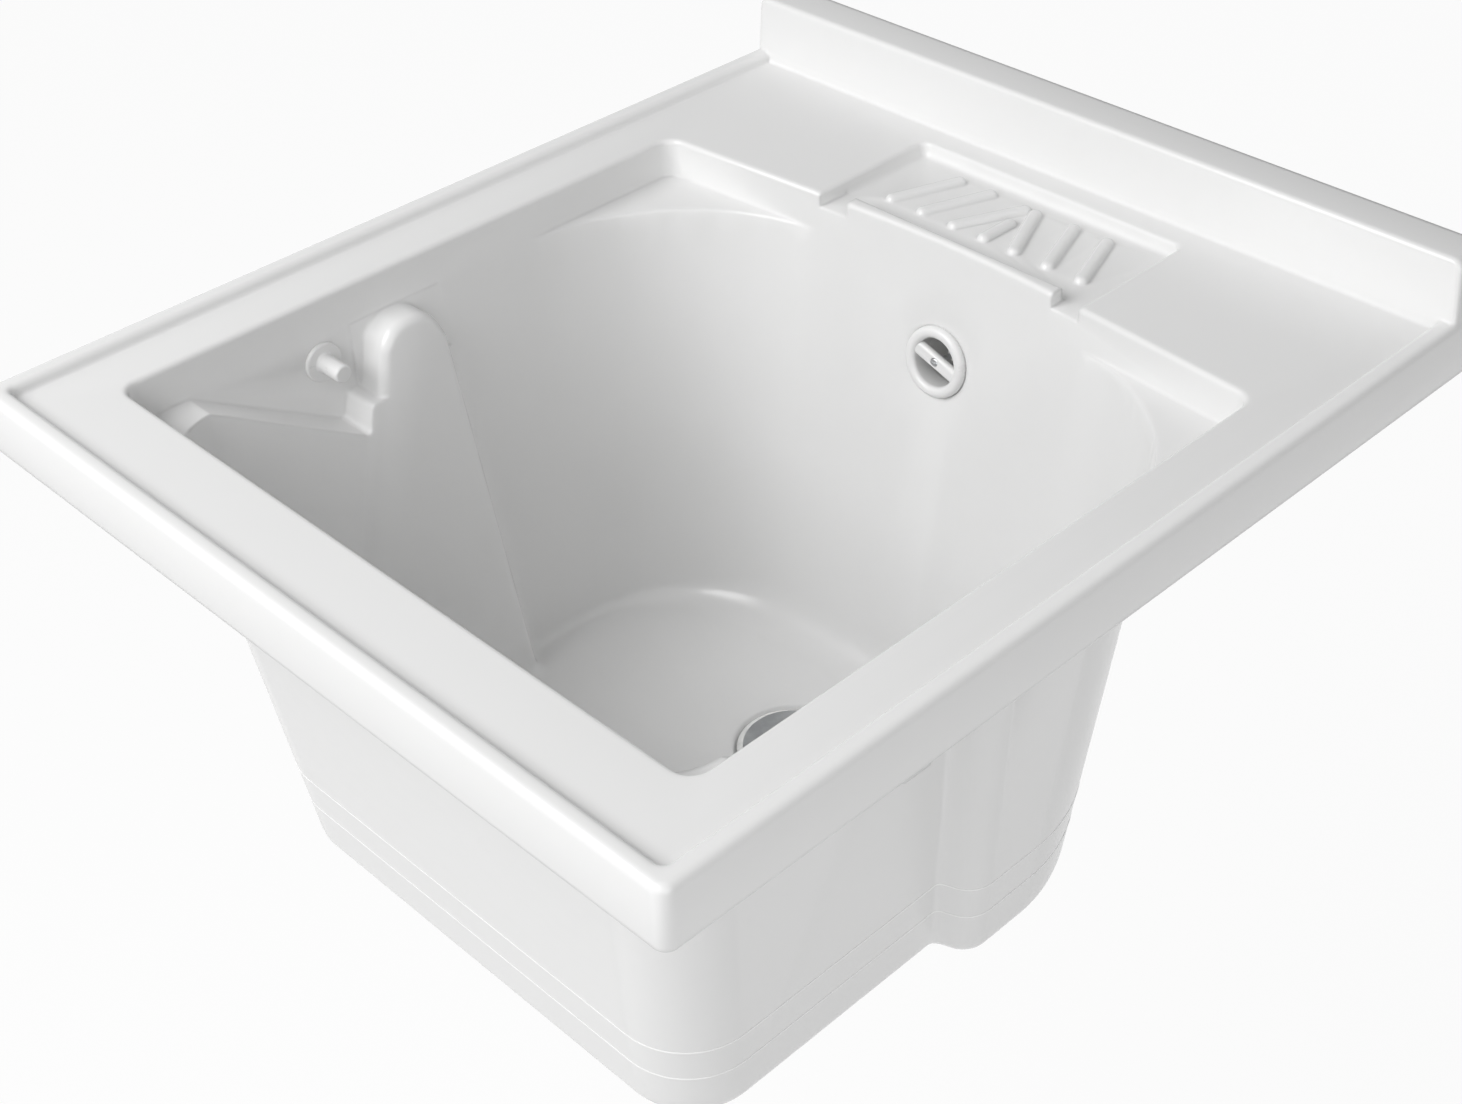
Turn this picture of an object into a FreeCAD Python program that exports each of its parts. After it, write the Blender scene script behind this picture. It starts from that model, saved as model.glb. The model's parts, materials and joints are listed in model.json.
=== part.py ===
import FreeCAD, Part
import math
import os
import Sketcher

# Laundry sink: a one-piece moulded basin with washboard ledges, its board pegs, overflow and waste.
# Millimetres. X runs across, Y to the wall, Z up. The origin is in the middle of the front strip of
# the deck's underside, where the rim sits on the cabinet's front rail.

SIZES = {
    # Rim: deck, raised bead, hanging apron and backsplash
    "rim_width": 520.0,
    "rim_depth": 600.0,
    "rim_corner": 7.0,
    "seat_setback": 28.0,
    "deck_thickness": 5.0,
    "wall": 4.0,
    "apron_height": 29.5,
    "bead_width": 11.5,
    "bead_height": 6.5,
    "bead_round": 4.0,
    "splash_height": 43.5,
    "splash_thickness": 26.7,
    "splash_lean": 4.0,
    "splash_corner": 7.0,
    "splash_round": 3.0,
    "deck_cove": 2.2,
    # Opening and the recess with vertical walls below it
    "opening_width": 432.6,
    "opening_front": 56.7,
    "opening_length": 395.5,
    "opening_corner": 11.0,
    "opening_round": 3.0,
    "bow_rise": 19.0,
    "bow_radius": 850.0,
    "bow_run": 3.0,
    "recess_depth": 25.0,
    # Well below the recess, at the shelf
    "pad_inset": 21.0,
    "step_setback": 193.5,
    "step_run": 8.0,
    "front_corner": 40.0,
    "crease_round": 8.0,
    "bulge_round": 14.0,
    "well_corner": 130.0,
    # Well at the floor: how far each wall leans in, and its corners
    "floor_depth": 297.0,
    "floor_thickness": 4.0,
    "front_lean": 33.0,
    "pad_lean": 28.0,
    "side_lean": 28.0,
    "rear_lean": 36.0,
    "step_lean": 25.0,
    "floor_front_corner": 38.0,
    "floor_corner": 102.0,
    "floor_bow_rise": 15.0,
    "floor_round_front": 8.0,
    "floor_round_rear": 26.0,
    # Washboard ledge: slope from the front shelf to the stop at the foot of the fin
    "ledge_setback": 37.5,
    "valley_setback": 132.5,
    "valley_drop": 58.0,
    "valley_round": 3.0,
    "stop_height": 18.0,
    "stop_lean": 4.0,
    "stop_depth": 8.0,
    "stop_round": 4.0,
    "fin_front_lean": 10.5,
    "fin_length": 43.3,
    "fin_back_lean": 17.0,
    "fin_round": 21.0,
    "fin_core": 46.0,
    "fin_edge_round": 7.0,
    "fin_skin": 0.2,
    # Soap dish behind the opening, with ribs and two drain notches
    "dish_width": 194.0,
    "dish_length": 82.0,
    "dish_setback": 44.0,
    "dish_corner": 6.0,
    "dish_depth": 9.0,
    "dish_cove": 4.0,
    "dish_round": 2.0,
    "notch_width": 20.0,
    "rib_pitch": 24.2,
    "rib_width": 8.4,
    "rib_length": 54.0,
    "rib_lean": 20.0,
    "apex_lean": 24.0,
    "rib_height": 3.6,
    "rib_round": 3.4,
    "rib_setback": 21.0,
    "centre_rib_length": 31.0,
    # Board pegs with their washers and nuts
    "peg_setback": 124.0,
    "peg_drop": 40.0,
    "peg_flange": 24.0,
    "peg_flange_thickness": 2.5,
    "peg_diameter": 11.0,
    "peg_length": 18.0,
    "peg_round": 1.5,
    "peg_shank": 8.0,
    "peg_hole_gap": 0.3,
    "peg_washer": 19.0,
    "peg_washer_thickness": 1.5,
    "peg_nut_width": 13.0,
    "peg_nut_height": 6.5,
    "peg_tail": 2.0,
    # Overflow in the rear wall
    "overflow_drop": 75.0,
    "overflow_sink": 0.5,
    "overflow_hole": 34.0,
    "overflow_boss": 52.0,
    "overflow_boss_height": 1.0,
    "rose_diameter": 44.0,
    "rose_opening": 30.0,
    "rose_thickness": 5.0,
    "rose_round": 3.2,
    "rose_turn": 16.0,
    "collar_gap": 0.5,
    "collar_reach": 3.0,
    "bar_width": 9.0,
    "bar_thickness": 4.0,
    "bar_sink": 0.8,
    "bar_round": 2.8,
    "overflow_screw": 3.5,
    "screw_head": 5.2,
    "screw_head_height": 1.6,
    "screw_gap": 0.2,
    "screw_slot": 0.8,
    "screw_point": 0.8,
    "thread_gap": 0.1,
    "overflow_gasket_thickness": 2.5,
    "elbow_flange_thickness": 4.0,
    "elbow_wall": 3.0,
    "elbow_depth": 38.0,
    "elbow_boss": 10.0,
    "elbow_boss_drop": 4.0,
    "elbow_boss_hole": 16.0,
    "elbow_drop": 40.0,
    # Pipe and unions between the overflow and the waste
    "pipe_diameter": 25.0,
    "pipe_bore": 21.0,
    "pipe_bend": 62.0,
    "pipe_gap": 0.3,
    "pipe_entry": 13.0,
    "spigot_diameter": 32.0,
    "seal_thickness": 4.0,
    "nut_diameter": 42.0,
    "nut_height": 20.0,
    "nut_lip": 3.0,
    "nut_gap": 0.25,
    "nut_grip": 5.0,
    "nut_round": 1.5,
    # Waste in the floor
    "waste_setback": 280.5,
    "waste_hole": 60.0,
    "waste_recess": 74.0,
    "waste_recess_depth": 3.5,
    "waste_boss": 84.0,
    "waste_boss_height": 4.0,
    "flange_diameter": 70.0,
    "flange_thickness": 1.2,
    "cup_diameter": 57.0,
    "cup_depth": 12.0,
    "cup_round": 2.0,
    "strainer_hole": 6.0,
    "outer_hole_ring": 38.0,
    "inner_hole_ring": 22.0,
    "waste_gasket_thickness": 1.5,
    "waste_screw": 6.0,
    "waste_screw_head": 11.0,
    "waste_screw_head_height": 2.6,
    "body_flange_thickness": 4.0,
    "body_wall": 3.0,
    "body_depth": 44.0,
    "body_boss": 14.0,
    "body_web": 4.0,
    "web_height": 18.0,
    "boss_drop": 12.0,
    "inlet_drop": 22.0,
    "inlet_reach": 58.0,
    "outlet_diameter": 47.8,
    "outlet_bore": 39.0,
    "outlet_length": 26.0,
    # Rubber plug
    "plug_rim": 62.0,
    "plug_rim_thickness": 2.6,
    "plug_gap": 0.4,
    "plug_seat_gap": 0.1,
    "plug_round": 1.2,
    "plug_taper": 1.5,
    "plug_depth": 7.0,
    "plug_knob": 15.0,
    "plug_neck": 9.0,
    "plug_knob_height": 12.0,
}

OUTER_STRAINER_HOLES = 12
INNER_STRAINER_HOLES = 6
NUT_GRIPS = 10
BODY_WEBS = 3
SIDES = (("left", -1), ("right", 1))
MARGIN = 20.0

doc = FreeCAD.newDocument("laundry_sink")


class Size:
    """A size together with the sheet expression that gives it."""

    def __init__(self, value, text):
        self.value = float(value)
        self.text = text

    @staticmethod
    def of(other):
        return other if isinstance(other, Size) else Size(other, repr(float(other)))

    def join(self, sign, other, value):
        return Size(value, f"({self.text} {sign} {other.text})")

    def __add__(self, other):
        other = Size.of(other)
        return self.join("+", other, self.value + other.value)

    def __sub__(self, other):
        other = Size.of(other)
        return self.join("-", other, self.value - other.value)

    def __mul__(self, other):
        other = Size.of(other)
        return self.join("*", other, self.value * other.value)

    def __truediv__(self, other):
        other = Size.of(other)
        return self.join("/", other, self.value / other.value)

    def __radd__(self, other):
        return Size.of(other) + self

    def __rsub__(self, other):
        return Size.of(other) - self

    def __rmul__(self, other):
        return Size.of(other) * self

    def __neg__(self):
        return Size(-self.value, f"(-{self.text})")


def sine(angle):
    """Sine of a size in degrees."""
    angle = Size.of(angle)
    return Size(math.sin(math.radians(angle.value)), f"sin({angle.text} * 1 deg)")


def cosine(angle):
    """Cosine of a size in degrees."""
    angle = Size.of(angle)
    return Size(math.cos(math.radians(angle.value)), f"cos({angle.text} * 1 deg)")


def root(size):
    """Square root of a size."""
    return Size(math.sqrt(size.value), f"sqrt({size.text})")


def smaller(first, second):
    """The smaller of two sizes."""
    return Size(min(first.value, second.value), f"min({first.text}; {second.text})")


class Sizes:
    """The sheet's sizes, read by name."""


# Sheet of driving dimensions
sheet = doc.addObject("Spreadsheet::Sheet", "Sizes")
s = Sizes()
for row, (name, number) in enumerate(SIZES.items(), start=1):
    sheet.set(f"A{row}", name)
    sheet.set(f"B{row}", repr(number))
    sheet.setAlias(f"B{row}", name)
    setattr(s, name, Size(number, f"Sizes.{name}"))
doc.recompute()


# Levels and lines that many pieces share
front = -s.seat_setback
rear = front + s.rim_depth
deck = s.deck_thickness
apron_foot = deck - s.apron_height
shelf = deck - s.recess_depth
floor = deck - s.floor_depth
opening_front = front + s.opening_front
opening_half = s.opening_width / 2
opening_rear = opening_front + s.opening_length


def bind(thing, prop, size):
    """Tie one property of an object to a size."""
    thing.setExpression(prop, Size.of(size).text)


def new_body(name):
    """A part design body."""
    return doc.addObject("PartDesign::Body", name)


def plane_of(body, role):
    """One of the body's own origin planes."""
    return next(item for item in body.Origin.OriginFeatures if item.Role == role)


def new_sketch(body, name, role="XY_Plane", height=0.0):
    """A sketch on an origin plane of its body, moved along the plane's normal."""
    sketch = body.newObject("Sketcher::SketchObject", name)
    sketch.AttachmentSupport = [(plane_of(body, role), "")]
    sketch.MapMode = "FlatFace"
    bind(sketch, "AttachmentOffset.Base.z", height)
    return sketch


def constrain(sketch, kind, *geometry, size=None):
    """Add one constraint, tied to a size if it has one."""
    if size is None:
        sketch.addConstraint(Sketcher.Constraint(kind, *geometry))
        return
    index = sketch.addConstraint(Sketcher.Constraint(kind, *geometry, size.value))
    sketch.setExpression(f"Constraints[{index}]", size.text)


def pin_point(sketch, geometry, end, x, y):
    """Place a sketch point by its distances from the sketch's origin."""
    for kind, axis, size in (("DistanceX", -2, Size.of(x)), ("DistanceY", -1, Size.of(y))):
        if abs(size.value) < 1e-9:
            constrain(sketch, "PointOnObject", geometry, end, axis)
        else:
            constrain(sketch, kind, -1, 1, geometry, end, size=size)


def vector(x, y):
    """A sketch position from two sizes."""
    return FreeCAD.Vector(Size.of(x).value, Size.of(y).value, 0)


def draw_outline(sketch, corners):
    """Draw a closed outline through corners (x, y, radius), where a radius of None is a sharp corner."""
    count = len(corners)
    places = [vector(x, y) for x, y, radius in corners]
    starts = list(places)
    ends = list(places)
    arcs = [None] * count
    for i, (x, y, radius) in enumerate(corners):
        if radius is None:
            continue
        radius = Size.of(radius)
        into = (places[i] - places[i - 1]).normalize()
        out = (places[(i + 1) % count] - places[i]).normalize()
        turn = math.atan2(into.x * out.y - into.y * out.x, into.dot(out))
        reach = radius.value * math.tan(abs(turn) / 2)
        ends[i] = places[i] - into * reach
        starts[i] = places[i] + out * reach
        side = math.copysign(1, turn)
        centre = ends[i] + FreeCAD.Vector(-into.y, into.x, 0) * (radius.value * side)
        first, last = (ends[i], starts[i]) if turn > 0 else (starts[i], ends[i])
        angles = [math.atan2(p.y - centre.y, p.x - centre.x) for p in (first, last)]
        circle = Part.Circle(centre, FreeCAD.Vector(0, 0, 1), radius.value)
        arcs[i] = (Part.ArcOfCircle(circle, *angles), radius, (1, 2) if turn > 0 else (2, 1))
    lines = []
    for i in range(count):
        lines.append(sketch.addGeometry(Part.LineSegment(starts[i], ends[(i + 1) % count]), False))
    for i, (x, y, radius) in enumerate(corners):
        before, after = lines[i - 1], lines[i]
        if arcs[i] is None:
            constrain(sketch, "Coincident", before, 2, after, 1)
            pin_point(sketch, after, 1, x, y)
            continue
        shape, radius, (near, far) = arcs[i]
        arc = sketch.addGeometry(shape, False)
        corner = sketch.addGeometry(Part.Point(places[i]), True)
        pin_point(sketch, corner, 1, x, y)
        constrain(sketch, "PointOnObject", corner, 1, before)
        constrain(sketch, "PointOnObject", corner, 1, after)
        constrain(sketch, "Tangent", before, 2, arc, near)
        constrain(sketch, "Tangent", arc, far, after, 1)
        constrain(sketch, "Radius", arc, size=radius)


def draw_circle(sketch, x, y, diameter):
    """Draw one circle of a given diameter."""
    diameter = Size.of(diameter)
    circle = Part.Circle(vector(x, y), FreeCAD.Vector(0, 0, 1), diameter.value / 2)
    index = sketch.addGeometry(circle, False)
    pin_point(sketch, index, 3, x, y)
    constrain(sketch, "Diameter", index, size=diameter)


def draw_box(sketch, low_x, low_y, high_x, high_y, radius=None):
    """Draw a rectangle with equal corners."""
    points = ((low_x, low_y), (high_x, low_y), (high_x, high_y), (low_x, high_y))
    draw_outline(sketch, [(x, y, radius) for x, y in points])


def pad(body, sketch, length, reversed_way=False, midplane=False):
    """Grow a sketch into a solid."""
    feature = body.newObject("PartDesign::Pad", f"{sketch.Name}_pad")
    feature.Profile = sketch
    feature.Reversed = reversed_way
    feature.Midplane = midplane
    bind(feature, "Length", length)
    doc.recompute()
    return feature


def pocket(body, sketch, depth, reversed_way=False):
    """Cut a sketch out of its body, and make sure that it took something away."""
    before = body.Shape.Volume
    feature = body.newObject("PartDesign::Pocket", f"{sketch.Name}_pocket")
    feature.Profile = sketch
    feature.Reversed = reversed_way
    bind(feature, "Length", depth)
    doc.recompute()
    if body.Shape.Volume > before - 1e-3:
        raise RuntimeError(f"{sketch.Name} cuts nothing")
    return feature


def turn(body, corners):
    """Revolve a profile of (radius, height, rounding) about the body's Z axis."""
    sketch = new_sketch(body, f"{body.Name}_profile", "XZ_Plane")
    draw_outline(sketch, corners)
    feature = body.newObject("PartDesign::Revolution", f"{body.Name}_turned")
    feature.Profile = sketch
    feature.ReferenceAxis = (sketch, ["V_Axis"])
    feature.Angle = 360
    doc.recompute()
    return feature


def groove(body, name, corners):
    """Turn a profile of (radius, height, rounding) about Z out of a body."""
    sketch = new_sketch(body, f"{name}_profile", "XZ_Plane")
    draw_outline(sketch, corners)
    feature = body.newObject("PartDesign::Groove", name)
    feature.Profile = sketch
    feature.ReferenceAxis = (sketch, ["V_Axis"])
    feature.Angle = 360
    doc.recompute()
    return feature


def turned(name, corners):
    """A body that is one revolved profile."""
    body = new_body(name)
    turn(body, corners)
    return body


def ring(name, bore, diameter, low, high):
    """A flat ring about Z."""
    return turned(name, [(bore / 2, low, None), (diameter / 2, low, None),
                         (diameter / 2, high, None), (bore / 2, high, None)])


def around(body, feature, sketch, count):
    """Repeat a feature evenly about its sketch's normal."""
    pattern = body.newObject("PartDesign::PolarPattern", f"{feature.Name}_pattern")
    pattern.Originals = [feature]
    pattern.Axis = (sketch, ["N_Axis"])
    pattern.Angle = 360
    pattern.Occurrences = count
    body.Tip = pattern
    doc.recompute()
    return pattern


def loft_between(body, sections):
    """Loft straight between outlines, each given with its height."""
    sketches = []
    for number, (height, corners) in enumerate(sections, start=1):
        sketch = new_sketch(body, f"{body.Name}_section_{number}", height=height)
        draw_outline(sketch, corners)
        sketches.append(sketch)
    loft = body.newObject("PartDesign::AdditiveLoft", f"{body.Name}_loft")
    loft.Profile = sketches[0]
    loft.Sections = sketches[1:]
    loft.Ruled = True
    doc.recompute()
    return loft


def edges_where(shape, test):
    """Names of the edges whose middle and ends pass a test."""
    found = []
    for index, edge in enumerate(shape.Edges, start=1):
        middle = edge.valueAt((edge.FirstParameter + edge.LastParameter) / 2)
        points = [vertex.Point for vertex in edge.Vertexes] + [middle]
        if test(points, edge):
            found.append(f"Edge{index}")
    return found


def round_edges(body, name, base, radius, test):
    """Fillet those edges of a body that pass a test."""
    edges = edges_where(base.Shape, test)
    if not edges:
        raise RuntimeError(f"{name} finds no edge")
    feature = body.newObject("PartDesign::Fillet", name)
    feature.Base = (base, edges)
    bind(feature, "Radius", radius)
    doc.recompute()
    return feature


def near(value, size):
    """Whether a coordinate lies on a size."""
    return abs(value - Size.of(size).value) < 1e-4


def cylinder(name, diameter, length, place):
    """A plain cylinder that starts at a placement and runs along its Z."""
    item = doc.addObject("Part::Cylinder", name)
    bind(item, "Radius", diameter / 2)
    bind(item, "Height", length)
    item.Placement = place
    return item


def fuse(name, items):
    """One solid from several."""
    item = doc.addObject("Part::MultiFuse", name)
    item.Shapes = items
    item.Refine = True
    doc.recompute()
    return item


def cut(name, base, tool):
    """One solid less another."""
    item = doc.addObject("Part::Cut", name)
    item.Base = base
    item.Tool = tool
    item.Refine = True
    doc.recompute()
    return item


def common(name, base, tool):
    """What two solids share."""
    item = doc.addObject("Part::Common", name)
    item.Base = base
    item.Tool = tool
    doc.recompute()
    return item


def fillet(name, base, rounds):
    """Fillet edges of a solid, each with a radius at its start and its end."""
    item = doc.addObject("Part::Fillet", name)
    item.Base = base
    item.Edges = rounds
    doc.recompute()
    return item


def place_at(x, y, z, rotation=FreeCAD.Rotation()):
    """A placement from sizes."""
    spot = FreeCAD.Vector(Size.of(x).value, Size.of(y).value, Size.of(z).value)
    return FreeCAD.Placement(spot, rotation)


# Rim: deck with its bead, apron and backsplash
def make_rim():
    body = new_body("rim")
    half = s.rim_width / 2
    outline = new_sketch(body, "rim_outline", height=apron_foot)
    draw_box(outline, -half, front, half, rear, s.rim_corner)
    pad(body, outline, s.apron_height + s.bead_height)
    hollow = new_sketch(body, "deck_hollow", height=deck + s.bead_height)
    draw_outline(hollow, [
        (-half + s.bead_width, front + s.bead_width, s.bead_round),
        (half - s.bead_width, front + s.bead_width, s.bead_round),
        (half - s.bead_width, rear + MARGIN, None),
        (-half + s.bead_width, rear + MARGIN, None),
    ])
    base = pocket(body, hollow, s.bead_height)

    def on_bead_top(points, edge):
        inside = all(p.y < rear.value - s.splash_thickness.value / 2 for p in points[-1:])
        return inside and all(near(p.z, deck + s.bead_height) for p in points)

    round_edges(body, "bead_rounding", base, s.bead_round, on_bead_top)
    splash_body = new_body("splash")
    splash = new_sketch(splash_body, "splash_front", "XZ_Plane", -rear)
    top = deck + s.splash_height
    draw_outline(splash, [
        (-half, shelf / 4, None),
        (half, shelf / 4, None),
        (half - s.splash_lean, top, s.splash_corner),
        (-half + s.splash_lean, top, s.splash_corner),
    ])
    base = pad(splash_body, splash, s.splash_thickness)
    front_of_splash = rear - s.splash_thickness

    def on_splash_brow(points, edge):
        above_foot = points[-1].z > shelf.value / 4 + 1
        return above_foot and all(near(p.y, front_of_splash) for p in points)

    round_edges(splash_body, "splash_brow", base, s.splash_round, on_splash_brow)
    base = body.newObject("PartDesign::Boolean", "rim_with_splash")
    base.addObject(splash_body)
    doc.recompute()

    def round_deck(points, edge):
        return all(near(p.z, deck) and p.y < front_of_splash.value + 1 for p in points)

    round_edges(body, "deck_cove", base, s.deck_cove, round_deck)
    under = new_sketch(body, "apron_hollow", height=apron_foot)
    draw_box(under, -half + s.wall, front + s.wall, half - s.wall, rear - s.wall)
    pocket(body, under, s.apron_height - s.deck_thickness, reversed_way=True)
    slot = new_sketch(body, "splash_hollow")
    reach = half - s.splash_lean - s.wall * 2
    draw_box(slot, -reach, front_of_splash + s.wall, reach, rear - s.wall)
    pocket(body, slot, top - s.wall, reversed_way=True)
    return body


def bow_round(half, rise, corner):
    """Rounding of the middle of a bowed wall, with a straight run left between it and the corners."""
    length = root(half * half + rise * rise)
    room = length - corner * (length - rise) / half - s.bow_run
    return smaller(s.bow_radius, room * half / rise)


def opening_corners(grow, corner):
    """Outline of the opening, moved outwards."""
    half = opening_half + grow
    bow = bow_round(opening_half, s.bow_rise, s.opening_corner)
    return [
        (-half, opening_front - grow, corner),
        (half, opening_front - grow, corner),
        (half, opening_rear + grow, corner),
        (Size.of(0), opening_rear + s.bow_rise + grow, bow + grow),
        (-half, opening_rear + grow, corner),
    ]


def lean_at(height):
    """How far down from the shelf to the floor a height lies, from 0 to 1."""
    return (shelf - height) / (s.floor_depth - s.recess_depth)


# How far the step's corners move back as the walls move inwards by one
step_shift = (math.hypot(s.pad_inset.value, s.step_run.value) - s.step_run.value) / s.pad_inset.value


def well_corners(lean, grow):
    """Outline of the well at a fraction of the way down to the floor, moved outwards."""
    front_y = opening_front + s.front_lean * lean - grow
    pad_x = opening_half - s.pad_inset - s.pad_lean * lean + grow
    side = opening_half - s.side_lean * lean
    side_x = side + grow
    crease_y = opening_front + s.step_setback + s.step_lean * lean - grow * step_shift
    bulge_y = crease_y + s.step_run
    rear_y = opening_rear - s.rear_lean * lean + grow
    rise = s.bow_rise + (s.floor_bow_rise - s.bow_rise) * lean
    corner = s.well_corner + (s.floor_corner - s.well_corner) * lean
    right = [
        (pad_x, front_y, s.front_corner + (s.floor_front_corner - s.front_corner) * lean + grow),
        (pad_x, crease_y, s.crease_round - grow),
        (side_x, bulge_y, s.bulge_round + grow),
        (side_x, rear_y, corner + grow),
    ]
    left = [(-x, y, radius) for x, y, radius in reversed(right)]
    return right + [(Size.of(0), rear_y + rise, bow_round(side, rise, corner) + grow)] + left


def make_well(name, grow, bottom, front_round, rear_round):
    """The leaning well, lofted from the shelf to the floor, with a floor edge that is rounder at the rear."""
    body = new_body(name)
    loft_between(body, [(shelf, well_corners(0, grow)), (bottom, well_corners(1, grow))])
    side_x, bulge_y, _ = well_corners(1, grow)[2]
    rounds = []
    for index, edge in enumerate(body.Shape.Edges, start=1):
        ends = [edge.valueAt(place) for place in (edge.FirstParameter, edge.LastParameter)]
        if all(near(point.z, bottom) for point in ends):
            at_rear = [point.y > bulge_y.value and abs(point.x) < side_x.value - 1 for point in ends]
            radii = [rear_round if rear_end else front_round for rear_end in at_rear]
            rounds.append((index, radii[0].value, radii[1].value))
    return fillet(f"{name}_rounded", body, rounds)


def make_opening(name, grow, corner, top, foot):
    """The recess below the opening, or the wall round it."""
    body = new_body(name)
    sketch = new_sketch(body, f"{name}_outline", height=foot)
    draw_outline(sketch, opening_corners(grow, corner))
    pad(body, sketch, top - foot)
    return body


# Lines of the washboard ledge, seen from the side
ledge_start = opening_front + s.ledge_setback
valley_y = opening_front + s.valley_setback
valley_z = shelf - s.valley_drop
stop_top = valley_z + s.stop_height
fin_front = valley_y + s.stop_lean + s.stop_depth
ledge_fall = s.valley_drop / (s.valley_setback - s.ledge_setback)


def make_ledge():
    """The space over both washboard ledges, between the front shelf and the fins."""
    body = new_body("ledge_space")
    sketch = new_sketch(body, "ledge_side", "YZ_Plane")
    top = shelf + s.recess_depth / 4
    draw_outline(sketch, [
        (ledge_start - (top - shelf) / ledge_fall, top, None),
        (valley_y, valley_z, s.valley_round),
        (valley_y + s.stop_lean, stop_top, s.stop_round),
        (fin_front, stop_top, None),
        (fin_front, top, None),
    ])
    pad(body, sketch, s.opening_width, midplane=True)
    return body


def make_ledge_shell():
    """The wall under the ledges, with the solid tops of the fins."""
    body = new_body("ledge_shell")
    sketch = new_sketch(body, "ledge_shell_side", "YZ_Plane")
    crease = opening_front + s.step_setback
    back = fin_front + s.wall
    draw_outline(sketch, [
        (ledge_start - s.wall * 2, shelf, None),
        (valley_y - s.wall / 2, valley_z - s.wall, None),
        (back, valley_z - s.wall, None),
        (back, shelf - s.fin_core, None),
        (crease + s.pad_inset, shelf - s.fin_core, None),
        (crease + s.pad_inset, shelf, None),
    ])
    pad(body, sketch, s.opening_width + s.wall * 2, midplane=True)
    return body


def fin_outline(lean):
    """Plan of the right fin at one depth, run out into the wall behind it."""
    (pad_x, _, _), crease, bulge = well_corners(lean, -s.fin_skin)[:3]
    start = fin_front - MARGIN
    end = bulge[1] + MARGIN
    outer = bulge[0] + MARGIN
    square = [(pad_x, start, None), (outer, start, None), (outer, end, None), (bulge[0], end, None)]
    return square + [bulge, crease]


def fin_block_outline(lean):
    """Plan of the block round the right fin's top at one depth."""
    (pad_x, _, _), _, bulge = well_corners(lean, -s.fin_skin * 2)[:3]
    start = fin_front - MARGIN / 4
    end = bulge[1] + MARGIN / 2
    inner = pad_x - MARGIN
    return [(inner, start, None), (bulge[0], start, None), (bulge[0], end, None), (inner, end, None)]


def make_fin_relief():
    """The space that the arched top of the right fin leaves free."""
    top = shelf + s.fin_skin
    low = stop_top - MARGIN / 2
    high = shelf + MARGIN / 4
    plan = new_body("fin_plan")
    loft_between(plan, [(high, fin_outline(lean_at(high))), (low, fin_outline(lean_at(low)))])
    side = new_body("fin_side")
    drop = (shelf - low + MARGIN) / (shelf - stop_top)
    crown_front = fin_front + s.fin_front_lean - s.fin_skin
    crown_rear = fin_front + s.fin_length + s.fin_skin
    sketch = new_sketch(side, "fin_side_outline", "YZ_Plane", opening_half - MARGIN * 3)
    draw_outline(sketch, [
        (crown_front - s.fin_front_lean * drop, low - MARGIN, None),
        (crown_rear + s.fin_back_lean * drop, low - MARGIN, None),
        (crown_rear, top, s.fin_round),
        (crown_front, top, s.fin_round),
    ])
    pad(side, sketch, MARGIN * 6)
    fin = common("fin", plan, side)

    def on_crest(points, edge):
        if points[-1].z < low.value + 1 or points[-1].x > opening_half.value:
            return False
        slants = []
        for face in fin.Shape.ancestorsOfType(edge, Part.Face):
            u, v = face.Surface.parameter(points[-1])
            slants.append(face.normalAt(u, v).x)
        return min(slants) < -0.05 and max(slants) > -0.01

    rounds = [(int(name[4:]), s.fin_edge_round.value, s.fin_edge_round.value)
              for name in edges_where(fin.Shape, on_crest)]
    rounded = fillet("fin_rounded", fin, rounds)
    block = new_body("fin_block")
    foot = stop_top + s.fin_skin
    brim = shelf + s.fin_skin * 10
    loft_between(block, [(brim, fin_block_outline(lean_at(brim))), (foot, fin_block_outline(lean_at(foot)))])
    return cut("fin_relief", block, rounded)


# Soap dish: its front edge, floor and ribs
dish_rear = rear - s.dish_setback
dish_front = dish_rear - s.dish_length
dish_floor = deck - s.dish_depth


def make_dish():
    """The space of the soap dish and of the two notches that drain it into the well."""
    body = new_body("dish_space")
    half = s.dish_width / 2
    sketch = new_sketch(body, "dish_outline", height=dish_floor)
    draw_box(sketch, -half, dish_front, half, dish_rear, s.dish_corner)
    base = pad(body, sketch, s.dish_depth + s.bead_height)

    def on_floor(points, edge):
        return all(near(p.z, dish_floor) for p in points)

    round_edges(body, "dish_cove", base, s.dish_cove, on_floor)
    for name, side in SIDES:
        notch = new_sketch(body, f"{name}_notch", height=dish_floor)
        inner = (half - s.notch_width) * side
        outer = half * side
        low, high = (outer, inner) if side < 0 else (inner, outer)
        draw_box(notch, low, opening_rear - s.dish_corner, high, dish_front + s.dish_corner * 2)
        pad(body, notch, s.dish_depth + s.bead_height)
    return body


def make_dish_shell():
    """The wall under the soap dish."""
    body = new_body("dish_shell")
    half = s.dish_width / 2 + s.wall
    sketch = new_sketch(body, "dish_shell_outline", height=dish_floor - s.wall)
    draw_box(sketch, -half, opening_rear, half, dish_rear + s.wall)
    pad(body, sketch, s.dish_depth)
    return body


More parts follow.
